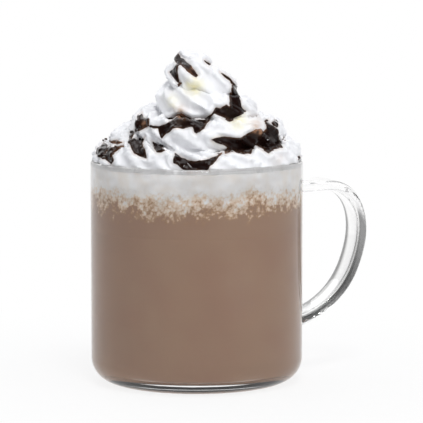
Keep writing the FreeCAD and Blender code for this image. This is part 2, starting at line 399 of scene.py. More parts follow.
def closed_grid(points):
    """Tube-like grid closed by a face at each end."""
    rows, columns = points.shape[:2]
    last = (rows - 1) * columns
    quads = grid_faces(rows, columns, True)
    caps = (np.arange(columns)[::-1], last + np.arange(columns))
    return points.reshape(-1, 3), quads, caps


def join_shells(name, shells):
    """One mesh of several shells, each given as its points, quads and caps."""
    points, quads, caps, start = [], [], [], 0
    for shell_points, shell_quads, shell_caps in shells:
        points.append(shell_points)
        quads.append(shell_quads + start)
        caps += [c + start for c in shell_caps]
        start += len(shell_points)
    return mesh_from(name, np.concatenate(points), np.concatenate(quads), caps)


# profile of the mound under the rope: radius, height (millimetres)
CREAM_CORE = ((0.5, 82.5), (38.5, 82.5), (38.5, 86), (33, 91), (27, 98), (15, 108), (7, 116), (0.5, 120))
CREAM_VOXEL = 0.44 * MM
SOFTEN_TIMES = 3
SWAY_SIZE = 9 * MM
FOLD_SHARPNESS = 2.2
FINE_SIZE = 1.8 * MM
FINE_HEIGHT = 0.16 * MM
PATCH_SIZE = 5 * MM
CREST_WIDTH = 1.5 * MM
HOLLOW_DEPTH = 1.0 * MM


def cream_mesh(cream):
    """The rope and the mound under it as one skin, softened, with the folds and torn crests of whipped
    cream."""
    shells = [closed_grid(turned(CREAM_CORE)), closed_grid(rope_points(ROPE_ROUTE, cream.rib_depth))]
    rough = add_object("cream_ropes", join_shells("cream_ropes", shells))
    remesh = rough.modifiers.new("remesh", "REMESH")
    remesh.mode = "VOXEL"
    remesh.voxel_size = CREAM_VOXEL
    mesh = evaluated(rough)
    bpy.data.objects.remove(rough)
    points, edges = read_points(mesh), read_edges(mesh)
    points = relax(points, edges, SOFTEN_TIMES)
    normals = read_normals(mesh)
    points += normals * cream_relief(points, normals, cream)[:, None]
    points = press_to_wall(relax(points, edges, 1))
    mesh.vertices.foreach_set("co", points.astype(np.float32).ravel())
    mesh.update()
    shade_smooth(mesh)
    return mesh


def cream_relief(points, normals, cream):
    """Height to add to the cream's skin. Folds are ridges where a smooth noise changes sign; along the
    sauce's edges the cream stands up in a crest, with a hollow for the sauce to lie in, where it faces
    front or back."""
    sway = cream.sway * noise(points, SWAY_SIZE, SEED)
    folds = np.clip(1 - np.abs(noise(points, cream.fold_size, SEED + 1)) * FOLD_SHARPNESS, -0.5, 1)
    fine = FINE_HEIGHT * noise(points, FINE_SIZE, SEED + 4)
    wet = cover(points)
    patchy = 0.65 + 0.5 * noise(points, PATCH_SIZE, SEED + 5)
    facing = smooth_step(0.15, 0.6, np.abs(normals @ TO_FRONT))
    crest = np.clip(1 - np.abs(wet + CREST_WIDTH) / CREST_WIDTH, 0, 1) * patchy
    hollow = smooth_step(-0.3 * MM, 2.2 * MM, wet)
    edges = facing * (cream.crest_height * crest - HOLLOW_DEPTH * hollow)
    return sway + cream.fold_height * folds + edges + fine


def press_to_wall(points):
    """Below the rim, points near the wall move out or in to lie just inside the glass, less and less
    towards the rim, where the cream stands free of it."""
    radius = np.hypot(points[:, 0], points[:, 1])
    wall = INNER_RADIUS + INTO_WALL
    below = 1 - smooth_step(RIM_HEIGHT - 5 * MM, RIM_HEIGHT - 1 * MM, points[:, 2])
    near = smooth_step(INNER_RADIUS - 5 * MM, INNER_RADIUS - 3 * MM, radius)
    new = radius + (wall - radius) * below * near
    inside_rim = np.where(points[:, 2] < RIM_HEIGHT, np.minimum(new, wall), new)
    return points * np.stack([inside_rim / radius, inside_rim / radius, np.ones_like(radius)], axis=1)


# ---- Chocolate sauce: drizzled strokes that follow the cream's skin ----

# Outlines of the sauce, as seen from the front: to the right of the mug's axis, and height (millimetres).
# Each is carried straight back onto the cream, and all but the first two are repeated behind, turned round by
# half a turn.
SAUCE_OUTLINES = {
    "tip": (
        (-7.2, 131.5), (-6.3, 129.8), (-4, 128.7), (-1.9, 127), (-0.4, 125.1), (0.6, 123.6), (0, 122.7),
        (-1.1, 123.1), (-3.1, 124.8), (-5.1, 126.7), (-6.3, 127.7), (-7.1, 127.3), (-7.5, 125.3),
        (-7.1, 123), (-6.3, 119.9), (-7.5, 120.7), (-9.1, 122.5), (-11.1, 124.3), (-9.5, 125.5),
        (-8.3, 126.8), (-7.9, 128), (-8.8, 129.1), (-8.4, 130.3),
    ),
    "tip_dash": ((3, 129), (3.6, 128.8), (5.6, 127.2), (5, 127), (3.4, 128.2)),
    "right_run": (
        (9.1, 124.6), (11.5, 123.4), (13.5, 121.8), (14.9, 119.8), (16.2, 118.3), (16.8, 116.5),
        (16.6, 115.3), (17.6, 113.7), (17.6, 111.5), (19.4, 109.4), (17.8, 108.4), (15, 107.2),
        (14.1, 106.8), (13, 106.5), (11.4, 107.1), (9.9, 108), (7.1, 109.2), (5.2, 107.7), (6.3, 109.6),
        (7.5, 111.5), (9.5, 111.2), (10.7, 111.8), (11.8, 112.6), (13, 111.8), (13.2, 114.3),
        (12.9, 116.1), (13.9, 116.4), (13.7, 118.1), (14.1, 119.3), (13.1, 121.1), (11.1, 122.4),
    ),
    "left_patch": (
        (-21.6, 108.8), (-21.3, 107.6), (-20.9, 106.7), (-18.6, 106.9), (-18.5, 104.1), (-20.8, 102.9),
        (-22.9, 101.9), (-24.3, 101), (-24.4, 103.5), (-24, 105.4), (-22.9, 106.4), (-23.7, 107),
        (-22.2, 107.9),
    ),
    "middle_band": (
        (-18.5, 104.5), (-16.7, 104.5), (-14.8, 104.4), (-12.8, 105.2), (-10.8, 106.3), (-9, 107),
        (-7.4, 108.5), (-5.8, 109.1), (-4.3, 108.2), (-2.3, 107.2), (0.5, 107.1), (3.6, 107.2),
        (5.6, 108.6), (5.6, 107.3), (4, 106), (3.2, 104.2), (1.7, 103.3), (0.1, 102.1), (-0.8, 102.7),
        (-1.4, 104.6), (-3, 104.5), (-4.9, 103.9), (-6.9, 104.3), (-8.8, 104), (-10.8, 102.4),
        (-13.5, 100.2), (-14.3, 101.8), (-14.9, 103.7), (-17.1, 103.7),
    ),
    "left_link": ((-24.5, 101.3), (-25.2, 99.8), (-25.6, 98), (-26.6, 97.7), (-26.2, 99.7), (-26.1, 100.8)),
    "left_block": (
        (-26.4, 98.3), (-24.7, 99.2), (-23.2, 98.4), (-21.6, 98.3), (-20.1, 99.9), (-21.1, 97.8),
        (-19.9, 95.8), (-19.3, 92.8), (-21.7, 93), (-24.1, 94), (-25.3, 95.6),
    ),
    "left_small": (
        (-17.3, 98.6), (-16.4, 98), (-14.8, 97.1), (-12.1, 95.9), (-13.8, 94.8), (-15.4, 94.7),
        (-16.5, 96.2),
    ),
    "far_lens": ((-34.1, 96.9), (-32.9, 97.7), (-31.2, 98), (-28.7, 97.7), (-31.1, 96.7), (-33.2, 96.5)),
    "far_left": (
        (-39.7, 93.8), (-38.3, 94.6), (-36.5, 96.4), (-35.7, 96), (-34.7, 94.4), (-36.2, 92.6),
        (-35.1, 93.4), (-34.6, 95.3), (-33.2, 95.5), (-30.6, 96.2), (-28.6, 97.1), (-30.6, 95),
        (-32.9, 93), (-32.4, 91.3), (-33.2, 89.5), (-34.9, 90.6), (-36.1, 91.1), (-38.4, 91.4),
        (-40, 92.1),
    ),
    "front_pool": (
        (-8.2, 94.7), (-6.1, 93.7), (-3.7, 92.6), (-1, 92.1), (1.7, 92.5), (4.8, 93.1), (7.5, 94.1),
        (10.2, 95.1), (8.7, 93.2), (6.7, 91.3), (5.4, 90.1), (4.4, 88.1), (2.9, 88.3), (0.9, 88.5),
        (-2.5, 88.5), (-5.2, 89.3), (-7, 90.9), (-8.7, 91.4), (-8.6, 93.4),
    ),
    "right_band": (
        (5.6, 100), (7.9, 100.8), (11, 101.1), (14.1, 100.6), (17.2, 100.4), (19.6, 101.4), (22, 102.6),
        (23.5, 103.3), (25.1, 103.2), (26.3, 102.1), (27.4, 103.1), (27.2, 105.1), (28.4, 105),
        (30, 103.5), (32, 101.9), (32.5, 98.5), (34.1, 95.5), (32.7, 95.5), (30.2, 95), (28.2, 94),
        (25.9, 95.5), (23.1, 97.2), (22, 96), (21.3, 94.2), (19.2, 94.4), (16.5, 94.8), (13.7, 95.8),
        (12.9, 95), (11.4, 94.5), (11, 95.3), (12.2, 96.9), (10.2, 98), (7.5, 99),
    ),
    "spot_a": ((26.8, 105.6), (27.6, 106.2), (28.8, 106), (28, 105.5)),
    "spot_b": (
        (29.6, 104.9), (30.5, 105.3), (31.7, 105), (32.5, 103.7), (32, 102.5), (31.2, 103.5),
        (30.4, 104.1),
    ),
    "spot_c": ((33.9, 98.3), (34.8, 98.1), (35.2, 97.5), (34.3, 97.8)),
    "spot_d": ((40.1, 90.6), (41, 91), (41.5, 90), (40.6, 89.8)),
}
ONE_SIDED = ("tip", "tip_dash")
RISE_BEHIND = 4.8  # the drizzle behind lies half a turn of the rope higher (millimetres)
REACH_FRONT = 2.0 * MM  # how far the outlines in front reach back past the middle
REACH_BEHIND = -15.0 * MM  # the ones behind end before the middle


def inside_outline(across, up, outline):
    """How far each place lies inside a closed outline, negative outside: the distance to the nearest
    side, with its sign from how often a line to the right crosses the outline."""
    corners = np.asarray(outline, float) * MM
    nearest = np.full(across.shape, 1.0)
    crossings = np.zeros(across.shape, int)
    for (x0, y0), (x1, y1) in zip(corners, np.roll(corners, -1, axis=0)):
        run_x, run_y = x1 - x0, y1 - y0
        share = np.clip(((across - x0) * run_x + (up - y0) * run_y) / (run_x**2 + run_y**2), 0, 1)
        nearest = np.minimum(nearest, np.hypot(across - x0 - share * run_x, up - y0 - share * run_y))
        spans = (y0 > up) != (y1 > up)
        crossings += spans & (across < x0 + (up - y0) * run_x / (run_y if run_y else 1.0))
    return np.where(crossings % 2 == 1, nearest, -nearest)


def cover(points):
    """How far each point of the cream lies inside the sauce, negative outside: the largest over all
    outlines, cut off where an outline's side of the swirl ends."""
    best = np.full(len(points), -1.0)
    for side, raised, reach in ((1, 0.0, REACH_FRONT), (-1, RISE_BEHIND * MM, REACH_BEHIND)):
        across, up, depth = side * points @ TO_RIGHT, points[:, 2] - raised, side * points @ TO_FRONT
        on_side = np.flatnonzero(depth > -reach - 3 * MM)
        for name, outline in SAUCE_OUTLINES.items():
            if side == 1 or name not in ONE_SIDED:
                inside = inside_outline(across[on_side], up[on_side], outline)
                best[on_side] = np.maximum(best[on_side], np.minimum(inside, depth[on_side] + reach))
    return best


# Where syrup and thin sauce tint the cream: right of the axis, height, reach (millimetres), strength
SYRUP_SPOTS = (
    (-0.8, 119.6, 3.4, 0.9),
    (-9.4, 113.6, 3.0, 0.4),
    (16.5, 106.5, 3.2, 0.7),
    (8.5, 99.4, 2.5, 0.3),
)
STAIN_SPOTS = (
    (-6.2, 110.3, 2.2, 0.6),
    (-20.8, 104.9, 1.8, 0.3),
    (32.5, 91.2, 2.4, 0.2),
    (23.5, 104.6, 2.4, 0.5),
)
THIN_SPOTS = (
    (24.0, 102.6, 2.8, 1.3),
    (-6.2, 108.6, 2.6, 1.4),
    (-20.8, 105.4, 1.8, 1.3),
    (-2.2, 125.4, 2.4, 0.8),
    (-31.0, 97.2, 3.2, 1.1),
    (10.5, 95.0, 2.2, 1.0),
)
STAIN_REACH = 0.5 * MM
SAUCE_MARGIN = 2 * MM  # how much of the cream's skin round the sauce is worked on
POOL_DEPTH = 1.5 * MM  # what the sauce adds where it fills a hollow
EDGE_DEPTH = 0.25  # least depth that colours the sauce (millimetres)
POOL_TIMES = 60  # how often the skin is relaxed to find its hollows
LEVEL_TIMES = 80  # how often the sauce's top is relaxed
SAUCE_SINK = 0.8 * MM  # how deep the sauce's skin goes under the cream's
SINK_KEPT = 0.5 * MM
SAUCE_BODY = 0.6 * MM  # how far the sauce is filled in below its skin


def spots_on(points, rows):
    """The strongest of some round spots that fade as strength * exp(-(distance / reach)^2), on the
    front."""
    across, height, reach, strength = np.array(rows).T[:, :, None]
    gap = np.hypot(points @ TO_RIGHT / MM - across, points[:, 2] / MM - height) / reach
    patchy = 0.8 + 0.5 * noise(points, 1.6 * MM, SEED + 40)
    return np.clip(np.max(strength * np.exp(-(gap**2)), axis=0) * (points @ TO_FRONT > 0) * patchy, 0, 1)


def add_stains(mesh):
    """Attributes syrup and stain from 0 to 1: spots on the cream, and a thin stain along the sauce's
    edge."""
    points = read_points(mesh)
    edge = np.exp(-((cover(points) / STAIN_REACH) ** 2)) * (0.25 + 0.15 * noise(points, 2 * MM, SEED + 41))
    set_attribute(mesh, "syrup", spots_on(points, SYRUP_SPOTS))
    set_attribute(mesh, "stain", np.maximum(edge, spots_on(points, STAIN_SPOTS)))


def part_of(name, points, quads, wanted):
    """A mesh of the faces that are wanted, and the numbers of the points that it keeps."""
    used, corners = np.unique(quads[wanted], return_inverse=True)
    return mesh_from(name, points[used], corners.reshape(-1, 4)), used


def sauce_mesh(cream, sauce):
    """The sauce's skin over the cream's. Inside the outlines each point of the cream's skin moves out by
    thickness * sqrt(1 - (1 - s)^2), where s is the distance from the edge over the shoulder, and by more
    where the skin is hollow, so that the sauce pools; outside it sinks under the skin. Then the top is
    levelled."""
    points, quads = read_points(cream), read_quads(cream)
    wet = cover(points) > -SAUCE_MARGIN
    patch = add_object("sauce_patch", part_of("sauce_patch", points, quads, wet[quads].all(axis=1))[0])
    finer = patch.modifiers.new("finer", "SUBSURF")
    finer.levels = finer.render_levels = 1
    mesh = evaluated(patch)
    bpy.data.objects.remove(patch)
    points, normals, edges = read_points(mesh), read_normals(mesh), read_edges(mesh)
    inside = cover(points)
    inside += 0.25 * MM * noise(points, 3 * MM, SEED + 2) + 0.18 * MM * noise(points, 1.3 * MM, SEED + 3)
    hollow = np.clip(np.sum((relax(points, edges, POOL_TIMES) - points) * normals, axis=1), 0, POOL_DEPTH)
    edge = np.clip(inside / sauce.shoulder, 0, 1)
    height = sauce.thickness * np.sqrt(1 - (1 - edge) ** 2)
    height = np.where(inside > 0, height + hollow * edge, 1.5 * inside)
    height = relax(np.maximum(height, -SAUCE_SINK), edges, 2)[:, 0]
    points += normals * height[:, None]
    points += smooth_step(0.2 * MM, 1.2 * MM, inside)[:, None] * (relax(points, edges, LEVEL_TIMES) - points)
    quads = read_quads(mesh)
    final, used = part_of("chocolate_sauce", points, quads, (height > -SINK_KEPT)[quads].any(axis=1))
    depth = np.maximum(height[used] / MM, EDGE_DEPTH) * (1 - spots_on(points[used], THIN_SPOTS))
    set_attribute(final, "depth", depth)
    return final


def thin_out(piece, layers=1):
    """Decimate a piece to the largest allowed number of triangles. layers is how often modifiers before it
    repeat its mesh."""
    faces = 2 * len(piece.data.polygons) * layers
    if faces > MOST_FACES:
        fewer = piece.modifiers.new("fewer", "DECIMATE")
        fewer.ratio = MOST_FACES / faces


# ---- Glass, drink and froth ----


CLOSE = 0.05 * MM  # what counts as on the wall
JOIN_WITHIN = 0.002 * MM
SHARP = math.radians(32)
SQUARELY = 0.97  # cosine within which a face looks straight out of a wall
NEAR_AXIS = 0.05  # radius of the flat face that closes the drink (millimetres)
DRINK_BEVEL = 0.6  # of its upper edge (millimetres)


def glass_mesh():
    """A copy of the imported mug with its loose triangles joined, so that it can be smooth."""
    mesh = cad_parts["glass_mug"].data.copy()
    shape = bmesh.new()
    shape.from_mesh(mesh)
    bmesh.ops.remove_doubles(shape, verts=shape.verts, dist=JOIN_WITHIN)
    shape.to_mesh(mesh)
    shape.free()
    shade_smooth(mesh)
    mesh.set_sharp_from_angle(angle=SHARP)
    mesh.normals_split_custom_set(wall_normals(mesh))
    return mesh


def wall_normals(mesh):
    """The mesh's corner normals, made exactly level and radial, (x, y, 0) / hypot(x, y), on the straight
    walls."""
    normals = read_array(mesh.corner_normals, "vector", 3)
    sizes = read_array(mesh.polygons, "loop_total", 1, np.int32)[:, 0]
    face = np.repeat(read_array(mesh.polygon_normals, "vector", 3), sizes, axis=0)
    points = read_points(mesh)[read_array(mesh.loops, "vertex_index", 1, np.int32)[:, 0]]
    radius = np.hypot(points[:, 0], points[:, 1])
    radial = unit(points * (1, 1, 0))
    high = RIM_HEIGHT - (MUG_RADIUS - INNER_RADIUS) / 2 + CLOSE
    for sign, wall, low in ((1, MUG_RADIUS, GLASS_HEEL), (-1, INNER_RADIUS, BASE_TOP + INNER_HEEL)):
        on_wall = (np.abs(radius - wall) < CLOSE) & (np.sum(face * radial, axis=1) * sign > SQUARELY)
        on_wall &= (points[:, 2] > low - CLOSE) & (points[:, 2] < high)
        normals[on_wall] = sign * radial[on_wall]
    return normals


def drink_mesh():
    """The drink as a turned body: flat under the froth, straight at the wall and rounded into the heel."""
    wall = (INNER_RADIUS + INTO_WALL) / MM
    low = (BASE_TOP - INTO_WALL) / MM
    heel = (INNER_HEEL + INTO_WALL) / MM
    top = (FROTH_LOW.z + FROTH_HIGH.z) / 2 / MM
    turn = np.linspace(-math.pi / 2, 0, 24)
    bend = np.stack([wall - heel + heel * np.cos(turn), low + heel + heel * np.sin(turn)], axis=1)
    upper = [(wall, top - DRINK_BEVEL), (wall - DRINK_BEVEL, top), (NEAR_AXIS, top)]
    profile = np.concatenate([[(NEAR_AXIS, low)], bend, upper])
    points, quads, caps = closed_grid(turned(profile, 256))
    return mesh_from("mocha", points, quads, caps)


FROTH_FOOT = 59.0 * MM
FROTH_TOP = 87.0 * MM
FROTH_SAG = 1.5 * MM  # how much lower the froth hangs in front than behind
FROTH_LIFT = 3.5 * MM  # how much higher it ends on the right
LIFT_TURN = math.radians(54)  # where it ends highest, from the front
LIFT_WIDTH = math.radians(20)
DRIP_HEIGHT = 3.5 * MM  # how far the drips of cream hang down from the top
FROTH_OUT = 0.03 * MM  # how far it stands out from the drink
FROTH_TUCK = 0.04 * MM  # how far its foot draws in, under the drink's skin
TUCK_HEIGHT = 9 * MM
RING_INSIDE = 0.8  # inner radius of the ring, as a share of the outer one
BUBBLE_HEIGHT = 0.05 * MM


def froth_skin(froth, turn, up):
    """The froth's looks at each turn and height, as three arrays. Milk says how white it is: the height
    above the froth's lower edge, which hangs down in lobes, broken up by soft patches, by clumps and by
    single bubbles that each have a tone of their own, less and less upwards. Folds is painted shade: soft
    grey folds on the cream that is pressed against the glass above the bubbles. Relief is how far each
    bubble stands out."""
    wall = INNER_RADIUS + INTO_WALL
    across = turn * wall
    sheet = np.stack([wall * np.cos(turn), wall * np.sin(turn), up], axis=-1).reshape(-1, 3)

    def soft(size, seed, squash=1.0):
        """Soft noise. Below 1, squash draws it out upwards."""
        return noise(sheet * (1, 1, squash), size * MM, SEED + seed).reshape(turn.shape)

    def bubbles(size, bend, seed):
        """Cells of bubbles, bent out of their rows by soft noise."""
        aside, aloft = (bend * size * soft(size / MM, seed + more) for more in (10, 11))
        return cells(across + aside, up + aloft, size, seed)

    _, shade_tiny = bubbles(froth.bubble / 2, 0.0, SEED + 24)
    gap_small, shade_small = bubbles(froth.bubble, 0.3, SEED + 22)
    gap_large, shade_large = bubbles(froth.bubble * 2.4, 0.3, SEED + 23)
    around = np.angle(np.exp(1j * (turn - FRONT)))
    lift = FROTH_LIFT * np.exp(-(((around - LIFT_TURN) / LIFT_WIDTH) ** 2))
    lobes = soft(13, 20, 0.0) * 1.8 * MM + soft(6, 21, 0.5) * 1.2 * MM
    above = up - froth.edge_height + lobes + FROTH_SAG * np.cos(around) - lift
    busy = 1 - 0.92 * smooth_step(0.6 * froth.depth, 1.25 * froth.depth, above + 1.5 * MM * soft(6, 34))
    grain = (
        0.30 * soft(5, 27)
        + 0.45 * (0.5 - gap_large)
        + 0.22 * (shade_large - 0.5)
        + 0.36 * (shade_small - 0.5)
        + 0.40 * (0.45 - gap_small)
        + 0.20 * (shade_tiny - 0.5)
    )
    drips = np.clip(soft(7, 35, 0.3) - 0.1, 0, 1)
    drips *= smooth_step(FROTH_TOP - DRIP_HEIGHT, FROTH_TOP - 0.5 * MM, up)
    milk = np.minimum(above / froth.depth + busy * grain, 1.0 - 0.75 * drips)
    # painted shade: soft grey folds for the cream pressed against the glass, which the ring's shape doesn't
    # have
    folds = 0.5 + 0.5 * np.clip(soft(9, 28, 2.6) + 0.7 * soft(4, 29, 2.0), -1, 1)
    relief = BUBBLE_HEIGHT * (0.8 - gap_small) * busy * smooth_step(-0.2, 0.2, milk)
    return milk, folds, relief


def froth_mesh(froth, columns=900, rows=104):
    """A ring of froth against the glass, closed both ways: a sheet of bubbles a hair further out than the
    drink and the cream, whose foot tucks in, and whose two edges are carried inwards and joined."""
    turn, up = np.meshgrid(
        np.linspace(0, 2 * math.pi, columns, endpoint=False), np.linspace(FROTH_FOOT, FROTH_TOP, rows)
    )
    milk, folds, relief = froth_skin(froth, turn, up)
    tuck = FROTH_TUCK * (1 - smooth_step(FROTH_FOOT, FROTH_FOOT + TUCK_HEIGHT, up))
    radius = INNER_RADIUS + INTO_WALL + FROTH_OUT - tuck + relief
    outer = np.stack([radius * np.cos(turn), radius * np.sin(turn), up], axis=-1)
    ring = np.concatenate([outer, outer[[-1, 0]] * (RING_INSIDE, RING_INSIDE, 1.0)])
    count = len(ring) * columns
    quads = grid_faces(len(ring) + 1, columns, True) % count
    mesh = mesh_from("milk_froth_ring", ring.reshape(-1, 3), quads)
    # folds carries the painted fold shade to the material
    for name, values in (("milk", milk), ("folds", folds)):
        set_attribute(mesh, name, np.concatenate([values, np.zeros((2, columns))]))
    return mesh


# ---- Nodes ----


def new_material(name):
    material = bpy.data.materials.new(name)
    material.use_nodes = True
    return material, material.node_tree, material.node_tree.nodes["Principled BSDF"]


def give(node, values):
    """Set a node's inputs, found by name or number, to sockets, numbers, colours or vectors."""
    for name, value in values.items():
        socket = node.inputs[name]
        if isinstance(value, bpy.types.NodeSocket):
            node.id_data.links.new(value, socket)
        elif isinstance(value, (int, float)):
            socket.default_value = value
        else:
            socket.default_value = (*value, 1)[: len(socket.default_value)]


def add_node(tree, kind, values=(), **settings):
    """Add a shader node, set what it does, then give it its inputs."""
    node = tree.nodes.new("ShaderNode" + kind)
    for name, value in settings.items():
        setattr(node, name, value)
    give(node, dict(values))
    return node


def arithmetic(tree, operation, first, second=0.0):
    return add_node(tree, "Math", {0: first, 1: second}, operation=operation).outputs[0]


def blend(tree, mode, factor, first, second):
    """Mix two colours."""
    values = {"Factor": factor, "A": first, "B": second}
    return add_node(tree, "Mix", values, data_type="RGBA", blend_type=mode).outputs["Result"]


def stretch(tree, value, from_low, from_high, to_low=0.0, to_high=1.0):
    """Carry one range of values onto another, eased at both ends."""
    ends = {"From Min": from_low, "From Max": from_high, "To Min": to_low, "To Max": to_high}
    return add_node(tree, "MapRange", {"Value": value, **ends}, interpolation_type="SMOOTHSTEP").outputs[0]


def ramp(tree, value, rows):
    """Colours at rows of (value, colour), blended in between."""
    node = add_node(tree, "ValToRGB", {"Fac": value})
    stops = node.color_ramp.elements
    stops[0].position, stops[0].color = rows[0][0], (*rows[0][1], 1)
    stops[1].position, stops[1].color = rows[-1][0], (*rows[-1][1], 1)
    for place, shade in rows[1:-1]:
        stops.new(place).color = (*shade, 1)
    return node.outputs["Color"]


def read(tree, name):
    """The value of a mesh attribute."""
    return add_node(tree, "Attribute", attribute_name=name).outputs["Fac"]


def bump(tree, height, distance, strength):
    values = {"Height": height, "Distance": distance, "Strength": strength}
    return add_node(tree, "Bump", values).outputs["Normal"]


def show_mix(tree, share, first, second):
    """Let the surface show a mix of two shaders."""
    mix = add_node(tree, "MixShader", {0: share, 1: first.outputs[0], 2: second.outputs[0]})
    give(tree.nodes["Material Output"], {"Surface": mix.outputs[0]})


def effect(name, inputs, outputs):
    """A shader node group with named inputs (a name and a default, or None for a vector) and outputs.
    Returns the group, the sockets that bring its inputs, and its output node."""
    group = bpy.data.node_groups.new(name, "ShaderNodeTree")
    for label, value in inputs:
        kind = "NodeSocketVector" if value is None else "NodeSocketFloat"
        socket = group.interface.new_socket(label, in_out="INPUT", socket_type=kind)
        if value is not None:
            socket.default_value = value
    for label in outputs:
        group.interface.new_socket(label, in_out="OUTPUT", socket_type="NodeSocketFloat")
    return group, group.nodes.new("NodeGroupInput").outputs, group.nodes.new("NodeGroupOutput")


def mottle_group():
    """Shared effect: soft blotches between two values, and a height for a finer unevenness."""
    if "mottle" in bpy.data.node_groups:
        return bpy.data.node_groups["mottle"]
    inputs = (("Vector", None), ("Size", 0.01), ("Low", 0.9), ("High", 1.0), ("Grain", 0.001))
    group, given, result = effect("mottle", inputs, ("Value", "Height"))
    clouds = []
    for size, detail in (("Size", 2.0), ("Grain", 3.0)):
        scale = arithmetic(group, "DIVIDE", 1.0, given[size])
        cloud = add_node(group, "TexNoise", {"Vector": given["Vector"], "Scale": scale, "Detail": detail})
        clouds.append(cloud.outputs["Fac"])
    value = stretch(group, clouds[0], 0.25, 0.75, given["Low"], given["High"])
    give(result, {"Value": value, "Height": clouds[1]})
    return group


def mottle(tree, size, low, high, grain=1 * MM):
    """Place the shared blotches in a material, with values of their own."""
    place = add_node(tree, "TexCoord").outputs["Object"]
    values = {"Vector": place, "Size": size, "Low": low, "High": high, "Grain": grain}
    return add_node(tree, "Group", values, node_tree=mottle_group()).outputs


def flags_group():
    """Shared effect: dark flags that stand round the object, for its glass to show. Value is cos(times *
    (turn - behind)), eased from level to 1 between two edges, where turn is the vector's direction seen
    from above."""
    if "flags" in bpy.data.node_groups:
        return bpy.data.node_groups["flags"]
    inputs = (("Vector", None), ("Times", 1.0), ("Low", 0.0), ("High", 1.0), ("Level", 0.1))
    group, given, result = effect("flags", inputs, ("Value",))
    split = add_node(group, "SeparateXYZ", {0: given["Vector"]}).outputs
    turn = arithmetic(group, "ARCTAN2", split["Y"], split["X"])
    turn = arithmetic(group, "SUBTRACT", turn, FRONT + math.pi)
    wave = arithmetic(group, "COSINE", arithmetic(group, "MULTIPLY", turn, given["Times"]))
    give(result, {"Value": stretch(group, wave, given["Low"], given["High"], given["Level"])})
    return group


def flags(tree, vector, times, edge, level):
    """Place the shared flags in the floor's material or the world, with values of their own."""
    values = {"Vector": vector, "Times": times, "Low": edge[0], "High": edge[1], "Level": level}
    return add_node(tree, "Group", values, node_tree=flags_group()).outputs["Value"]


# ---- Materials ----

GLASS_IOR = 1.5
DRINK_IOR = 1.34


def cream_material(cream):
    """Whipped cream: light sinks a little way into it, and syrup and sauce have tinted it in places."""
    material, tree, shader = new_material("whipped_cream")
    spots = mottle(tree, 4 * MM, 0.96, 1.0, 0.7 * MM)
    plain = blend(tree, "MULTIPLY", 1.0, cream.colour, spots["Value"])
    syrup = blend(tree, "MIX", read(tree, "syrup"), plain, cream.syrup_colour)
    look = {
        "Base Color": blend(tree, "MIX", read(tree, "stain"), syrup, cream.stain_colour),
        "Normal": bump(tree, spots["Height"], 0.12 * MM, 0.5),
        "Roughness": 0.45,
        "Subsurface Weight": 0.6,
        "Subsurface Radius": (1.0, 1.0, 1.0),
        "Subsurface Scale": 1.5 * MM,
    }
    give(shader, look)
    return material


SAUCE_STEPS = ((0.0, 0.0), (0.14, 0.65), (0.32, 0.93), (0.7, 1.0))  # depth, how far the colour has darkened


def sauce_material(sauce):
    """Chocolate sauce: near black and glossy where it is thick, brown where the cream shines through it."""
    material, tree, shader = new_material("chocolate_sauce")
    streak = mottle(tree, 5 * MM, 0.8, 1.0, 1.5 * MM)
    depth = arithmetic(tree, "MULTIPLY", read(tree, "depth"), streak["Value"])
    thin, thick = np.array(sauce.thin_colour), np.array(sauce.colour)
    look = {
        "Base Color": ramp(tree, depth, [(place, thin * (1 - s) + thick * s) for place, s in SAUCE_STEPS]),
        "Normal": bump(tree, streak["Height"], 0.05 * MM, 0.3),
        "Roughness": 0.09,
        "Specular IOR Level": sauce.shine,
    }
    give(shader, look)
    return material


def glass_material(glass):
    """Clear glass, very slightly wavy and uneven."""
    material, tree, shader = new_material("clear_glass")
    wave = mottle(tree, 20 * MM, 0.0, glass.roughness, 14 * MM)
    look = {
        "Base Color": (1, 1, 1),
        "Normal": bump(tree, wave["Height"], glass.waviness, 0.15),
        "Roughness": wave["Value"],
        "IOR": GLASS_IOR,
        "Transmission Weight": 1.0,
    }
    give(shader, look)
    return material


def mirror_at_grazing(tree, shader):
    """Where light inside the glass meets the drink at a grazing angle it is thrown back whole, because
    the drink bends light less than the glass does."""
    give(shader, {"Roughness": 0.6, "Specular IOR Level": 0.0})
    mirror = add_node(tree, "BsdfPrincipled", {"Base Color": (1, 1, 1), "Metallic": 1.0, "Roughness": 0.0})
    grazing = add_node(tree, "Fresnel", {"IOR": DRINK_IOR / GLASS_IOR})
    show_mix(tree, grazing.outputs[0], shader, mirror)


def drink_colour(tree, drink):
    """Coffee with slow swirls of more and of less milk."""
    swirl = mottle(tree, 16 * MM, 0.0, 1.0)["Value"]
    return blend(tree, "MIX", swirl, drink.colour, drink.milkier_colour)


def drink_material(drink):
    """Milky coffee behind glass."""
    material, tree, shader = new_material("mocha")
    give(shader, {"Base Color": drink_colour(tree, drink)})
    mirror_at_grazing(tree, shader)
    return material


BUBBLE_SHADES = ((0.16, (0.53, 0.35, 0.22)), (0.38, (0.76, 0.60, 0.46)), (0.60, (0.86, 0.77, 0.68)))


def froth_material(froth, drink):
    """Bubbles stained by the drink at the bottom, milk white above, with painted shade of soft folds on the
    cream that is pressed against the glass. Below the bubbles it has the drink's own colour."""
    material, tree, shader = new_material("milk_froth")
    milk = read(tree, "milk")
    stained, white = np.array(froth.stained_colour), np.array(froth.colour)
    bubbles = ramp(tree, milk, ((0.0, stained), *BUBBLE_SHADES, (0.82, 0.95 * white), (1.0, white)))
    tinted = blend(tree, "MULTIPLY", mottle(tree, 5 * MM, 0.0, 0.9)["Value"], bubbles, froth.tint)
    # painted shade of the folds: the colour is darkened to 0.86 along them
    folds = stretch(tree, read(tree, "folds"), 0.0, 1.0, 0.86, 1.0)
    cream = blend(tree, "MULTIPLY", 1.0, tinted, folds)
    whole = blend(tree, "MIX", stretch(tree, milk, -0.06, 0.06), drink_colour(tree, drink), cream)
    give(shader, {"Base Color": whole})
    mirror_at_grazing(tree, shader)
    return material


# ---- Studio ----

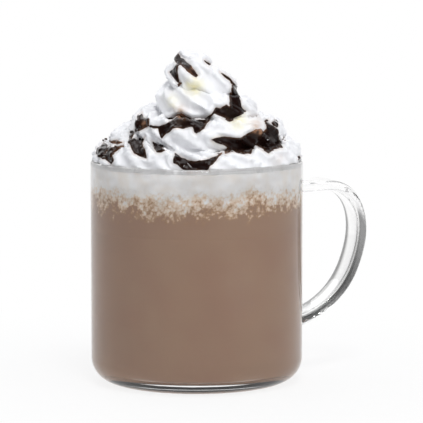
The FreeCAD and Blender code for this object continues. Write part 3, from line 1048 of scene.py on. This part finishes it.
FLOOR_GAP = 0.1 * MM  # between the foot and the floor
FLOOR_HALF = 3.0  # half the floor's side
SHADE_REACH = (0.03, 0.2)  # distances from the axis between which the floor turns white
NEAR_GLOW = 0.85  # how much of the white the floor has under the mug
FLAG_COUNT = 3
FLAG_EDGE = (-0.6, 0.6)  # cosines between which a flag fades into the white beside it
GLOSS_EDGE = (0.2, 0.95)  # the same for the dark front that gloss sees
FLAG_LEVEL = 0.08  # light that a flag gives
FLOOR_FLAG_LEVEL = 0.25  # the same on the floor and at its far edge
FLAG_RISE = 0.4  # sine of the height at which the flags are darkest
THROUGH_LEVEL = 0.75  # light that reaches the drink through the glass
SOFTBOX_EDGE = (0.92, 0.96)  # sine of the height at which the soft box overhead begins
SOFTBOX_LEVEL = 4.0
SHADE_TINT = (0.90, 0.93, 1.0)
UP = Vector((0, 0, 1))
# each lamp: how far right, front and up it stands from the middle of the rim, and its width (metres)
LAMPS = (
    ("key", (0.1, 0.5, 0.75), 0.25),
    ("fill", (0.75, 0.6, 0.3), 0.6),
    ("back", (-0.35, -0.7, 0.55), 0.6),
)
CAMERA_ELEVATION = math.radians(6.71)
CAMERA_DISTANCE = 1.088
CAMERA_LENS = 230.8
AIM_HEIGHT = 68.1 * MM
AIM_ASIDE = 5.95 * MM  # how far right of the axis the camera is centred


def seen_through_glass(tree, path):
    """1 for a ray that has passed through glass and met nothing else yet."""
    lit = arithmetic(tree, "MINIMUM", path["Diffuse Depth"], 1.0)
    return arithmetic(tree, "GREATER_THAN", path["Is Transmission Ray"], lit)


def add_floor(studio):
    """A pale table. The eye and gloss see it as white, a little darker under the mug, and the glass sees
    painted dark flags on it.
    """
    points = FLOOR_HALF * np.array([(-1, -1, 0), (1, -1, 0), (1, 1, 0), (-1, 1, 0)]) - (0, 0, FLOOR_GAP)
    floor = add_object("floor", mesh_from("floor", points, np.array([[0, 1, 2, 3]])))
    material, tree, shader = new_material("floor")
    spots = mottle(tree, 30 * MM, 0.97, 1.0)["Value"]
    give(shader, {"Base Color": blend(tree, "MULTIPLY", 1.0, studio.floor_colour, spots), "Roughness": 0.8})
    path = add_node(tree, "LightPath").outputs
    place = add_node(tree, "TexCoord").outputs["Object"]
    away = add_node(tree, "VectorMath", {0: place}, operation="LENGTH").outputs["Value"]
    white = stretch(tree, away, *SHADE_REACH, NEAR_GLOW)
    eye = arithmetic(tree, "MAXIMUM", path["Is Camera Ray"], path["Is Glossy Ray"])
    eye = arithmetic(tree, "MAXIMUM", eye, path["Is Transmission Ray"])
    # painted shade: dark flags on the floor's glow, seen only through the glass
    dark = flags(tree, place, FLAG_COUNT, FLAG_EDGE, FLOOR_FLAG_LEVEL)
    colour = blend(tree, "MIX", seen_through_glass(tree, path), (1, 1, 1), dark)
    glow = add_node(tree, "Emission", {"Color": colour})
    show_mix(tree, arithmetic(tree, "MULTIPLY", eye, white), shader, glow)
    floor.data.materials.append(material)


def add_world(studio):
    """Soft light from all round. Glass sees white with dark flags between, gloss sees white behind, a
    dark front and a soft box overhead, and the eye sees white."""
    world = bpy.data.worlds.new("studio")
    bpy.context.scene.world = world
    world.use_nodes = True
    tree = world.node_tree
    path = add_node(tree, "LightPath").outputs
    way = add_node(tree, "TexCoord").outputs["Generated"]
    high = add_node(tree, "SeparateXYZ", {0: way}).outputs["Z"]
    softbox = stretch(tree, high, *SOFTBOX_EDGE, 0.0, SOFTBOX_LEVEL)
    gloss = arithmetic(tree, "ADD", softbox, flags(tree, way, 1, GLOSS_EDGE, FLAG_LEVEL))
    dark = stretch(tree, high, 0.0, FLAG_RISE, FLOOR_FLAG_LEVEL, FLAG_LEVEL)
    clear = flags(tree, way, FLAG_COUNT, FLAG_EDGE, dark)
    lit = arithmetic(tree, "MINIMUM", path["Diffuse Depth"], 1.0)
    level = studio.world_level
    for chosen, source in (
        (path["Is Glossy Ray"], gloss),
        (path["Is Transmission Ray"], clear),
        (arithmetic(tree, "MULTIPLY", lit, path["Is Transmission Ray"]), THROUGH_LEVEL),
        (path["Is Camera Ray"], 1.0),
    ):
        level = add_node(tree, "Mix", {"Factor": chosen, "A": level, "B": source}).outputs[0]
    tint = blend(tree, "MIX", path["Is Diffuse Ray"], (1, 1, 1), SHADE_TINT)
    sky = {"Color": blend(tree, "MULTIPLY", 1.0, tint, level), "Strength": 1.0}
    give(tree.nodes["Background"], sky)


def add_lamps(studio):
    """Round lamps that face the middle of the rim."""
    for name, (right, front, up), width in LAMPS:
        lamp = bpy.data.lights.new(name, "AREA")
        lamp.shape = "DISK"
        lamp.size = width
        lamp.energy = getattr(studio, name + "_power")
        place = Vector(TO_RIGHT) * right + Vector(TO_FRONT) * front + UP * up
        holder = add_object(name, lamp)
        holder.location = UP * RIM_HEIGHT + place
        holder.rotation_euler = (-place).to_track_quat("-Z", "Y").to_euler()
        holder.visible_transmission = name != "back"  # the handle's glass would show it


def add_camera():
    """A long lens in front, a little above the mug."""
    towards = Vector(TO_FRONT) * math.cos(CAMERA_ELEVATION) + UP * math.sin(CAMERA_ELEVATION)
    camera = bpy.data.cameras.new("camera")
    camera.lens = CAMERA_LENS
    camera.sensor_width = 36
    holder = add_object("camera", camera)
    holder.location = Vector(TO_RIGHT) * AIM_ASIDE + UP * AIM_HEIGHT + towards * CAMERA_DISTANCE
    holder.rotation_euler = towards.to_track_quat("Z", "Y").to_euler()
    bpy.context.scene.camera = holder
    bpy.context.scene.view_settings.view_transform = "Standard"


# ---- Operators and panel ----


def finish_piece(piece, material, node=None):
    """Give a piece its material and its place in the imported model."""
    piece.data.materials.clear()
    piece.data.materials.append(material)
    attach(piece, "root")
    if node:
        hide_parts(node)


class MOCHA_OT_cream(bpy.types.Operator):
    """Pipe the swirl of whipped cream"""

    bl_idname = "mocha.cream"
    bl_label = "Whipped cream"

    def execute(self, context):
        cream = context.scene.mocha.cream
        piece = add_object("piped_cream", cream_mesh(cream))
        add_stains(piece.data)
        thin_out(piece)
        finish_piece(piece, cream_material(cream), "whipped_cream")
        return {"FINISHED"}


class MOCHA_OT_sauce(bpy.types.Operator):
    """Drizzle the chocolate sauce over the cream"""

    bl_idname = "mocha.sauce"
    bl_label = "Chocolate sauce"

    def execute(self, context):
        if "piped_cream" not in bpy.data.objects:
            raise RuntimeError("The sauce lies on the cream: add the whipped cream first")
        sauce = context.scene.mocha.sauce
        piece = add_object("chocolate_sauce", sauce_mesh(bpy.data.objects["piped_cream"].data, sauce))
        body = piece.modifiers.new("body", "SOLIDIFY")
        body.thickness = SAUCE_BODY
        body.offset = -1
        thin_out(piece, 2)
        finish_piece(piece, sauce_material(sauce))
        return {"FINISHED"}


class MOCHA_OT_glass(bpy.types.Operator):
    """Blow the glass mug"""

    bl_idname = "mocha.glass"
    bl_label = "Glass mug"

    def execute(self, context):
        piece = add_object("clear_mug", glass_mesh())
        finish_piece(piece, glass_material(context.scene.mocha.glass), "glass_mug")
        return {"FINISHED"}


class MOCHA_OT_drink(bpy.types.Operator):
    """Pour the drink"""

    bl_idname = "mocha.drink"
    bl_label = "Drink"

    def execute(self, context):
        piece = add_object("mocha", drink_mesh())
        finish_piece(piece, drink_material(context.scene.mocha.drink), "mocha_drink")
        return {"FINISHED"}


class MOCHA_OT_froth(bpy.types.Operator):
    """Float the froth on the drink"""

    bl_idname = "mocha.froth"
    bl_label = "Milk froth"

    def execute(self, context):
        mocha = context.scene.mocha
        piece = add_object("froth_ring", froth_mesh(mocha.froth))
        finish_piece(piece, froth_material(mocha.froth, mocha.drink), "milk_froth")
        return {"FINISHED"}


class MOCHA_OT_studio(bpy.types.Operator):
    """Set up the floor, the light and the camera"""

    bl_idname = "mocha.studio"
    bl_label = "Studio"

    def execute(self, context):
        studio = context.scene.mocha.studio
        add_floor(studio)
        add_world(studio)
        add_lamps(studio)
        add_camera()
        return {"FINISHED"}


class MOCHA_PT_panel(bpy.types.Panel):
    """Sizes, colours and the buttons that make each piece"""

    bl_idname = "MOCHA_PT_panel"
    bl_label = "White chocolate mocha"
    bl_space_type = "VIEW_3D"
    bl_region_type = "UI"
    bl_category = "Mocha"

    def draw(self, context):
        mocha = context.scene.mocha
        for part in ("cream", "sauce", "glass", "drink", "froth", "studio"):
            box = self.layout.box()
            box.operator("mocha." + part)
            settings = getattr(mocha, part)
            for name in settings.__annotations__:
                box.prop(settings, name)


CLASSES = (
    MochaCream,
    MochaSauce,
    MochaDrink,
    MochaFroth,
    MochaGlass,
    MochaStudio,
    MochaSettings,
    MOCHA_OT_cream,
    MOCHA_OT_sauce,
    MOCHA_OT_glass,
    MOCHA_OT_drink,
    MOCHA_OT_froth,
    MOCHA_OT_studio,
    MOCHA_PT_panel,
)


def register():
    for cls in CLASSES:
        bpy.utils.register_class(cls)
    bpy.types.Scene.mocha = PointerProperty(type=MochaSettings)


def unregister():
    del bpy.types.Scene.mocha
    for cls in reversed(CLASSES):
        bpy.utils.unregister_class(cls)


def main():
    register()
    bpy.ops.mocha.cream()
    bpy.ops.mocha.sauce()
    bpy.ops.mocha.glass()
    bpy.ops.mocha.drink()
    bpy.ops.mocha.froth()
    bpy.ops.mocha.studio()


if __name__ == "__main__":
    main()
